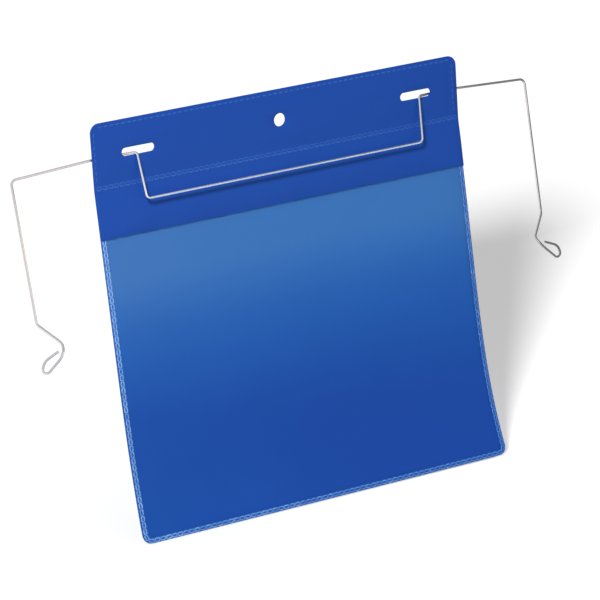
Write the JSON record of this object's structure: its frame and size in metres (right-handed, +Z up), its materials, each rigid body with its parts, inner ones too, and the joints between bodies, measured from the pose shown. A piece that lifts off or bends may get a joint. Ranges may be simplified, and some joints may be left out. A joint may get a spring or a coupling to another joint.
{
  "type": "hanging document pocket",
  "caption": "Flat hanging document pocket: opaque sheet back and doubled header with a hang hole, clear welded front, rain flap over the mouth and a bent wire hanger through slots.",
  "frame": {"origin": "centre of the round hang hole, on the front face of the back sheet", "axes": "+X across the pocket to the right seen from the front, +Y out of the back, +Z up along the flat header"},
  "size_m": [0.3206, 0.0344, 0.2163],
  "materials": {
    "blue_sheet": "satin, lightly grained opaque sheet",
    "header_sheet": "satin, lightly grained opaque sheet",
    "flap_sheet": "satin, lightly grained opaque sheet",
    "clear_film": "clear glossy film",
    "bright_steel": "bright drawn wire"
  },
  "bodies": {
    "pocket": {"back_sheet": "blue_sheet", "header_facing": "header_sheet", "front_window": "clear_film"},
    "flap": {"rain_flap": "flap_sheet"},
    "hanger": {"wire_hanger": "bright_steel"}
  },
  "joints": [
    {"name": "flap_lift", "type": "hinge", "parent": "pocket", "child": "flap", "pos_m": [0, -0.00054, -0.01817], "axis": [-1, 0, 0], "range_deg": [0, 15]},
    {"name": "hanger_swing", "type": "hinge", "parent": "pocket", "child": "hanger", "pos_m": [0, 0.0012, -0.00225], "axis": [-1, 0, 0], "range_deg": [0, 70]}
  ]
}
